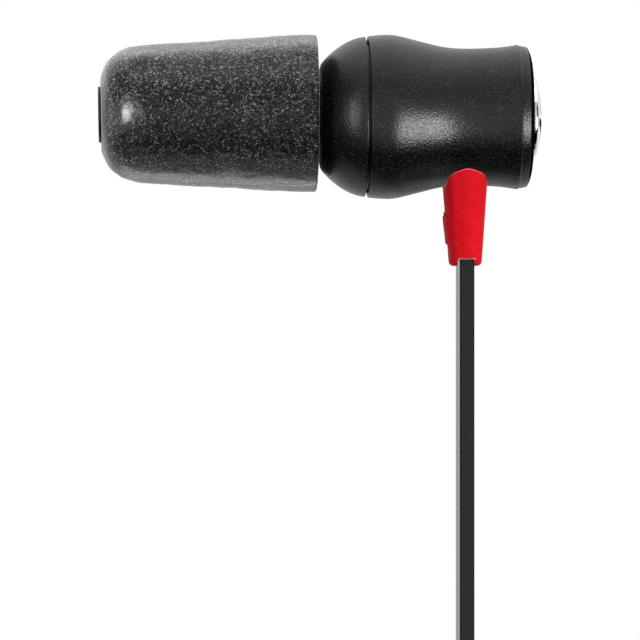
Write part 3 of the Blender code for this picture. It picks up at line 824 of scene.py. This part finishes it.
def track(u, out):
    """A point u turns along the hank's innermost line, moved out by a distance; u=0 is the top loop's left end."""
    d = (u % 1.0) * TURN
    if d < SEMI:
        a = math.pi - d / LOOP_R
        return (LOOP_R + out) * math.cos(a), RUN_HALF + (LOOP_R + out) * math.sin(a)
    if d < SEMI + RUN_LONG:
        z, sign = run_z(d - SEMI), 1
    elif d < 2 * SEMI + RUN_LONG:
        a = -(d - SEMI - RUN_LONG) / LOOP_R
        return (LOOP_R + out) * math.cos(a), -RUN_HALF + (LOOP_R + out) * math.sin(a)
    else:
        z, sign = -run_z(d - 2 * SEMI - RUN_LONG), -1
    slope = (LOOP_R - WAIST) / 2 * math.pi / RUN_HALF * math.sin(math.pi * abs(z) / RUN_HALF) * (1 if z > 0 else -1)
    n = math.hypot(1, slope)
    return sign * (run_x(z) + out / n), z - out * slope / n


def main_route():
    pts = []
    semi = SEMI / TURN
    mid, end = 2.0, 3.0 + SEMI / TURN
    left, right = -(LOOP_R + 2.6), LOOP_R + 3.1
    for k in range(7):
        pts.append((left, 9.375 - 1.875 * smoothstep(0, 7, k), 7.9 + k * (RUN_HALF - 7.9) / 7))
    n = int(end * 60)
    for i in range(n + 1):
        u = end * i / n
        out = LAYER * math.sqrt((u - mid) ** 2 + 0.0004)
        if u > 3.0:
            out += (3.1 - LAYER * (end - mid)) * smoothstep(0, semi, u - 3.0)
        x, z = track(u, out)
        pts.append((x, 7.5 + 3.75 * smoothstep(0, 0.34, u - mid + 0.17), z))
    for k in range(1, 6):
        pts.append((right, 11.25, RUN_HALF - k * (RUN_HALF - 21.3) / 5))
    return [(x + HX, y, z + HZ) for x, y, z in pts]


def branch_route(side, y_col, y_split):
    sx, sy, sz = SHIFT[side]
    y_lead = sy
    x_lead = 28.225 + sx - HX
    top = -10.9 + sz - HZ
    pts = [(x_lead, y_lead, top - (top - 6.0) * k / 12) for k in range(13)]
    semi = SEMI / TURN
    start, join = semi + RUN_LONG / TURN * 0.5, semi + RUN_LONG / TURN
    for i in range(1, 15):
        t = i / 14
        x, z = track(start + (join - start) * t - 1e-6, 0.0)
        x = x_lead + (x - x_lead) * smoothstep(0, 1 / 1.15, t)
        pts.append((x, y_lead + (y_col - y_lead) * smoothstep(0.2, 1.0, t), z))
    last = join + 1.0 + semi
    for i in range(1, 91):
        u = join + (last - join) * i / 90
        out = LAYER * (u - join)
        if u > join + 1.0:
            out += (2.6 - LAYER * (1 + semi)) * smoothstep(0, semi, u - join - 1.0)
        x, z = track(u - 1e-6, out)
        pts.append((x, y_col, z))
    for k in range(1, 9):
        pts.append((-(LOOP_R + 2.6), y_col + (y_split - y_col) * smoothstep(0, 8, k), -RUN_HALF + k * (RUN_HALF - 7.9) / 8))
    return [(x + HX, y, z + HZ) for x, y, z in pts]


def tidy(points, least=0.4):
    out = [points[0]]
    for p in points[1:]:
        if math.dist(p, out[-1]) > least:
            out.append(p)
    return out


def resample(points, step):
    pts = smooth_curve(tidy(points), step)
    return tidy(pts, step * 0.35)


def ribbon(name, path, twist=0.0):
    """A flat cord: its wide way stays along Y, its thin way turns with the route. A twist, in degrees,
    turns its first straight stretch a little and fades out before the hank."""
    section = rounded_rect(CORD_THICK / 2, CORD_WIDE / 2, 0.15, 4, 4)
    rings = []
    n = len(path)
    for i, p in enumerate(path):
        a, b = Vector(path[max(i - 1, 0)]), Vector(path[min(i + 1, n - 1)])
        t = (b - a).normalized()
        w = (Vector((0, 1, 0)) - t * t.y).normalized()
        if twist:
            w.rotate(Matrix.Rotation(math.radians(twist * (1 - smoothstep(40.0, 75.0, path[0][2] - p[2]))) if i < n // 4 else 0.0, 3, t))
        thin = w.cross(t).normalized()
        ring = []
        for u, v in section:
            # the wide faces dip a little between the two conductors
            dip = 0.035 * math.exp(-(v / 0.55) ** 2) * (1 if abs(u) > CORD_THICK / 2 - 0.02 else 0)
            uu = u - math.copysign(dip, u)
            ring.append(tuple(Vector(p) + thin * uu + w * v))
        rings.append(ring)
    return loft(name, rings, fan=False)


paths = {}
paths["left"] = resample(branch_route("left", 3.75, 7.45), 0.8)
paths["right"] = resample(branch_route("right", 15.0, 11.3), 0.8)
paths["main"] = resample(main_route(), 0.8)

cord_left = piece("branch_left", ribbon("branch_left", paths["left"], -1.3), "cord_rubber", "root", ["cord_left"])
cord_right = piece("branch_right", ribbon("branch_right", paths["right"], -1.3), "cord_rubber", "root", ["cord_right"])
cord_main = piece("main_cord", ribbon("main_cord", paths["main"]), "cord_rubber", "root", ["cord_hank"])


# ------------------------------------------------------------------ tie, splitter, plug
def tie_mesh():
    """A soft strap once round the waist of the hank, its end lapped over its start."""
    loop = rounded_rect(4.75, 11.6, 2.6, 10, 10)
    # start on the front face, go round once and a bit more
    start = max(range(len(loop)), key=lambda i: (-loop[i][1], -abs(loop[i][0] - 2.0)))
    loop = loop[start:] + loop[:start]
    lap = loop + loop[: int(len(loop) * 0.16)]
    total = len(lap)
    rings = []
    for i, (x, y) in enumerate(lap):
        nx, ny = (x / 4.75) ** 5, (y / 11.6) ** 5
        n = math.hypot(nx, ny) or 1.0
        nx, ny = nx / n, ny / n
        out = 0.46 + 0.86 * smoothstep(len(loop) - 10, len(loop) + 3, i)
        edge = min(i, total - 1 - i)
        half = 4.2 - 1.2 * (1 - smoothstep(0, 4, edge)) if i > total / 2 else 4.2
        thick = 0.38
        wob = 0.05 * math.sin(i * 0.55)
        cx, cy = HX + x + nx * out, 9.375 + y + ny * out
        ring = []
        for du, dv in rounded_rect(thick, half, 0.3, 3, 6):
            ring.append((cx + nx * du, cy + ny * du, HZ + dv + wob))
        rings.append(ring)
    return loft("hank_tie", rings, fan=False)


piece("hank_strap", tie_mesh(), "strap_fabric", "root", ["hank_tie"])


def splitter_mesh():
    sx = HX - LOOP_R - 2.6
    stations = [(-8.2, 0.95, 3.75), (-8.1, 1.12, 3.92), (-7.7, 1.3, 4.08), (-7.0, 1.42, 4.15), (-5.5, 1.55, 4.2), (-3.5, 1.66, 4.12),
                (-1.0, 1.7, 3.8), (1.5, 1.7, 3.35), (4.0, 1.62, 2.92), (6.0, 1.5, 2.62), (7.3, 1.34, 2.45), (7.9, 1.2, 2.34),
                (8.1, 1.08, 2.22), (8.2, 0.92, 2.06)]
    dense = smooth_curve([Vector(s) for s in stations], 0.25)
    rings = []
    for z, w, d in dense:
        ring = []
        for x, y in super_oval(w, d, 96, 3.4):
            # a shallow valley runs down between the two branches
            valley = 0.22 * math.exp(-((y / 0.75) ** 2)) * smoothstep(1.0, -6.5, z)
            ring.append((sx + (x - math.copysign(valley, x) if abs(x) > 0.3 else x), 9.375 + y, HZ + z))
        rings.append(ring)
    return loft("splitter", rings)


splitter = piece("y_splitter", splitter_mesh(), "cord_rubber", "root", ["splitter"])

PX, PY, PT = HX + LOOP_R + 3.1, 11.25, HZ + 21.8


def plug_relief_mesh():
    rings = []
    stations = [(0.0, 0.8, 1.98, 0.55), (0.12, 0.95, 2.12, 0.7), (0.5, 1.08, 2.25, 0.85), (2.5, 1.25, 2.34, 1.05), (5.0, 1.55, 2.45, 1.4),
                (7.4, 1.9, 2.6, 1.75), (7.85, 1.95, 2.62, 1.8), (8.0, 1.88, 2.55, 1.75)]
    for d, w, h, r in smooth_curve([Vector(s) for s in stations], 0.12):
        groove = 0.0
        for k in range(4):
            groove = max(groove, 1 - min(abs(d - (2.2 + 1.2 * k)) / 0.26, 1.0))
        g = 0.16 * groove * groove * (3 - 2 * groove)
        rings.append([(PX + x, PY + y, PT - d) for x, y in super_oval(w - g, h - g, 72, 2.6)])
    return loft("plug_relief", rings)


def plug_body_mesh():
    chain = fillet([(8.1, 0.0), (8.1, 2.45), (8.7, 3.05), (10.2, 3.2), (12.2, 3.2), (12.3, 3.1), (12.5, 3.1), (12.6, 3.2), (19.7, 3.2),
                    (19.8, 3.1), (20.0, 3.1), (20.1, 3.2), (21.5, 3.2), (22.35, 2.98), (22.45, 2.0), (22.45, 0.0)],
                   [0, 0.25, 0.3, 0.4, 0.03, 0.03, 0.03, 0.03, 0.03, 0.03, 0.03, 0.03, 0.3, 0.15, 0, 0], 4)
    dense = []
    for p, q in zip(chain, chain[1:]):
        dense += line(p, q, 0.35)
    dense.append(chain[-1])

    def grip(a, r, th):
        if 12.9 < a < 19.4 and r > 3.1:
            fade = smoothstep(12.9, 13.3, a) * (1 - smoothstep(19.0, 19.4, a))
            return r - 0.11 * fade * (0.5 + 0.5 * math.cos(36 * th)) ** 2, a, 0.0
        return r, a, 0.0
    return lathe("plug_body", dense, 288, False, "-z", (PX, PY, PT), grip)


def plug_part(name, chain, radii, slot, node_name, segs=72):
    profile = fillet(chain, radii, 4)
    return piece(name, lathe(name, profile, segs, False, "-z", (PX, PY, PT)), slot, "root", [node_name])


plug_parts = [
    piece("plug_boot", plug_relief_mesh(), "relief_red", "root", ["plug_relief"]),
    piece("plug_shell", plug_body_mesh(), "soft_touch_shell", "root", ["plug_body"]),
    plug_part("contact_sleeve", [(22.46, 0.0), (22.46, 2.3), (22.75, 2.3), (22.8, 1.75), (29.22, 1.75), (29.22, 0.0)],
              [0, 0.05, 0.05, 0.05, 0.05, 0], "plug_gold", "plug_sleeve"),
    plug_part("insulator_rear", [(29.22, 0.0), (29.22, 1.69), (29.88, 1.69), (29.88, 0.0)], 0.03, "plug_insulator",
              "plug_insulator_rear"),
    plug_part("contact_ring", [(29.88, 0.0), (29.88, 1.75), (32.13, 1.75), (32.13, 0.0)], 0.05, "plug_gold", "plug_ring"),
    plug_part("insulator_front", [(32.13, 0.0), (32.13, 1.69), (32.78, 1.69), (32.78, 0.0)], 0.03, "plug_insulator",
              "plug_insulator_front"),
    plug_part("contact_tip", [(32.78, 0.0), (32.78, 1.75), (33.35, 1.75), (34.05, 1.2), (34.5, 1.2), (35.2, 1.6), (36.15, 0.85),
                              (36.5, 0.3), (36.5, 0.0)], [0, 0.06, 0.12, 0.2, 0.2, 0.25, 0.3, 0.15, 0], "plug_gold", "plug_tip"),
]


# ------------------------------------------------------------------ inner pieces keep their CAD shape
INNER = {"acoustic_damper": "damper_felt", "driver_grille": "driver_steel", "driver_frame": "frame_brass",
         "diaphragm": "diaphragm_film", "voice_coil": "coil_copper", "top_plate": "driver_steel", "magnet": "magnet_nickel",
         "yoke": "driver_steel", "driver_board": "board_green", "cord_crimp": "driver_steel", "wire_signal": "wire_red",
         "wire_return": "wire_green"}
for side in SIDES:
    for base, slot in INNER.items():
        o = frame["nodes"][base + "_" + side]
        o.data.materials.clear()
        o.data.materials.append(MAT[slot])


# ------------------------------------------------------------------ floor, light
def floor_disc():
    verts = [(0.0, 0.0, 0.0)]
    n, rings = 96, [0.12, 0.3, 0.6, 0.9]
    for r in rings:
        verts += [(r * math.cos(2 * math.pi * i / n), r * math.sin(2 * math.pi * i / n), 0.0) for i in range(n)]
    faces = [(0, 1 + i, 1 + (i + 1) % n) for i in range(n)]
    for k in range(len(rings) - 1):
        a, b = 1 + k * n, 1 + (k + 1) * n
        faces += [(a + i, b + i, b + (i + 1) % n, a + (i + 1) % n) for i in range(n)]
    mesh = bpy.data.meshes.new("floor")
    mesh.from_pydata(verts, [], faces)
    o = bpy.data.objects.new("floor", mesh)
    bpy.context.scene.collection.objects.link(o)
    o.location = (0.02, 0.01, -0.152)
    m, t, s = new_material("floor_paper")
    f = noise_tex(t, object_coords(t), 3.0, 3.0, 0.5)
    t.links.new(ramp(t, f, [(0.3, grey(0.80)), (0.7, grey(0.84))]), s.inputs["Base Color"])
    setup(s, Roughness=0.9)
    mesh.materials.append(m)
    o.visible_glossy = False
    o.visible_diffuse = False


floor_disc()


def area(name, azimuth, elevation, distance, width, height, power, target=(22.0, 0.0, 0.0)):
    """A softbox on the camera's side: azimuth 0 is straight in front, positive towards +X."""
    a, e = math.radians(azimuth), math.radians(elevation)
    d = Vector((math.sin(a) * math.cos(e), -math.cos(a) * math.cos(e), math.sin(e)))
    light = bpy.data.lights.new(name, "AREA")
    light.shape = "RECTANGLE"
    light.size, light.size_y = width, height
    light.energy = power
    o = bpy.data.objects.new(name, light)
    bpy.context.scene.collection.objects.link(o)
    at = Vector(target) * MM
    o.location = at + d * distance
    o.rotation_mode = "QUATERNION"
    o.rotation_quaternion = d.to_track_quat("Z", "Y")
    o.visible_camera = False
    return o


keys = [area("softbox_right", 36, -18, 0.6, 0.20, 0.34, 3.3), area("softbox_left", -44, 2, 0.6, 0.13, 0.34, 0.9)]


def only_on(light, pieces, name, diffuse=False):
    """The light reaches these pieces alone, and only as a gloss on them unless diffuse is set."""
    group = bpy.data.collections.new(name)
    for o in pieces:
        group.objects.link(o)
    light.light_linking.receiver_collection = group
    light.visible_diffuse = diffuse


# the foam and the cord take their even tone from the room alone
spare = bpy.data.collections.new("spare_foam")
for o in [*foams.values(), cord_left, cord_right, cord_main]:
    spare.objects.link(o)
for member in spare.collection_objects:
    member.light_linking.link_state = "EXCLUDE"
for key in keys:
    key.light_linking.receiver_collection = spare
only_on(area("foam_light", -40, 1, 0.6, 0.26, 0.2, 17.0, (4.0, 0.0, 0.0)), list(foams.values()), "foam_only")
for name, azimuth, elevation, power in (("foam_back_high", 180, 55, 2.8), ("foam_back_low", 180, -54, 3.8),
                                        ("foam_front_high", 0, 66, 1.4), ("foam_below", 0, -86, 0.8),
                                        ("foam_left", -90, -4, 2.8)):
    only_on(area(name, azimuth, elevation, 0.6, 0.5, 0.3, power, (8.0, 0.0, 0.0)), list(foams.values()), name, True)
only_on(area("shell_light", 24, -21, 0.6, 0.15, 0.27, 0.72), shells, "shell_only")
only_on(area("badge_light", 0, 70, 0.5, 0.5, 0.5, 1.2), badges, "badge_only")
only_on(area("relief_light", 84, -8, 0.6, 0.2, 0.34, 1.4, (28.0, 0.0, -8.0)), reliefs, "relief_only", True)

world = bpy.data.worlds.new("studio")
bpy.context.scene.world = world
world.use_nodes = True
wt = world.node_tree
wt.nodes.clear()
out = wt.nodes.new("ShaderNodeOutputWorld")
tc = wt.nodes.new("ShaderNodeTexCoord")
way = tc.outputs["Generated"]
sep = wt.nodes.new("ShaderNodeSeparateXYZ")
wt.links.new(way, sep.inputs["Vector"])


def ease(value, a, b, c, d):
    n = wt.nodes.new("ShaderNodeMapRange")
    n.interpolation_type = "SMOOTHSTEP"
    for key, v in (("From Min", a), ("From Max", b), ("To Min", c), ("To Max", d)):
        n.inputs[key].default_value = v
    wt.links.new(value, n.inputs["Value"])
    return n.outputs["Result"]


def level(value, low, high, stops):
    """A curve of grey levels over a value that runs from low to high."""
    return ramp(wt, remap(wt, value, low, high, 0.0, 1.0), [((p - low) / (high - low), grey(v)) for p, v in stops])


def band(value, low, high, soft):
    """1 between low and high, with soft edges outside them."""
    return math_node(wt, "MULTIPLY", ease(value, low - soft, low, 0.0, 1.0), ease(value, high, high + soft, 1.0, 0.0))


def angle(up, ahead):
    a = math_node(wt, "ARCTAN2", up, ahead)
    return math_node(wt, "MULTIPLY", a, 180 / math.pi)


# round the long axis: 0 is the camera's side, 90 straight up, 180 behind, -90 straight down
around = angle(sep.outputs["Z"], math_node(wt, "MULTIPLY", sep.outputs["Y"], -1.0))
# round the upright: 0 is straight behind, 90 the badge's side, 180 the camera's side
turn = angle(sep.outputs["X"], sep.outputs["Y"])
height = math_node(wt, "MULTIPLY", sep.outputs["Z"], 1.0)
wrap = level(around, -180.0, 180.0, [
    (-180, 0.80), (-150, 0.64), (-125, 0.44), (-103, 0.48), (-96, 0.28), (-91, 0.10), (-84, 0.0), (-50, 0.0), (-43, 0.10),
    (-36, 0.38), (-27, 0.50), (0, 0.52), (17, 0.48), (39, 0.38), (63, 0.50), (78, 0.76), (90, 0.92), (110, 1.0), (140, 0.9),
    (180, 0.80)])
# straight out past the badge the pattern settles to one grey, so it has no pole there
settle = ease(sep.outputs["X"], 0.72, 0.97, 0.0, 1.0)
wrap = math_node(wt, "ADD", math_node(wt, "MULTIPLY", wrap, math_node(wt, "SUBTRACT", 1.0, settle)),
                 math_node(wt, "MULTIPLY", math_node(wt, "ADD", remap(wt, height, -1.0, 1.0, 0.3, 0.9), 0.0), settle))
left_cut = ease(sep.outputs["X"], -0.84, -0.42, 0.12, 1.0)
# black flags off to the right: one wide one for the rim's edge, and thin ones that streak the badge
tall = math_node(wt, "ABSOLUTE", height, 0.0)
leaning = math_node(wt, "SUBTRACT", turn, math_node(wt, "MULTIPLY", math_node(wt, "MULTIPLY", tall, tall), 125.0))
low_side = math_node(wt, "MULTIPLY", band(leaning, 76.0, 122.0, 16.0), band(height, -0.5, 0.3, 0.22))
low_side = math_node(wt, "MULTIPLY", low_side, 0.93)
streak_b = math_node(wt, "MULTIPLY", band(turn, 3.0, 24.0, 1.5), band(height, 0.012, 0.028, 0.004))
streak_c = math_node(wt, "MULTIPLY", band(turn, 3.0, 6.5, 1.0), band(height, -0.016, 0.012, 0.004))
dim = math_node(wt, "MULTIPLY", math_node(wt, "MULTIPLY", band(turn, 3.0, 30.0, 4.0), ease(tall, 0.028, 0.045, 0.0, 0.28)),
                ease(tall, 0.3, 0.5, 1.0, 0.0))
dark = math_node(wt, "MAXIMUM", math_node(wt, "MAXIMUM", low_side, dim), math_node(wt, "MAXIMUM", streak_b, streak_c))
grey_sum = math_node(wt, "MULTIPLY", math_node(wt, "MULTIPLY", wrap, left_cut), math_node(wt, "SUBTRACT", 1.25,
                     math_node(wt, "MULTIPLY", dark, 1.25)))
soft = wt.nodes.new("ShaderNodeBackground")
wt.links.new(grey_sum, soft.inputs["Strength"])
white = wt.nodes.new("ShaderNodeBackground")
white.inputs["Strength"].default_value = 1.0
path_info = wt.nodes.new("ShaderNodeLightPath")
choose = wt.nodes.new("ShaderNodeMixShader")
wt.links.new(path_info.outputs["Is Camera Ray"], choose.inputs["Fac"])
wt.links.new(soft.outputs["Background"], choose.inputs[1])
wt.links.new(white.outputs["Background"], choose.inputs[2])
wt.links.new(choose.outputs["Shader"], out.inputs["Surface"])
soft.inputs["Color"].default_value = (1, 1, 1, 1)
white.inputs["Color"].default_value = (1, 1, 1, 1)

scene = bpy.context.scene
scene.view_settings.view_transform = "Standard"
scene.view_settings.look = "None"
scene.view_settings.exposure = 0.0
scene.view_settings.gamma = 1.0
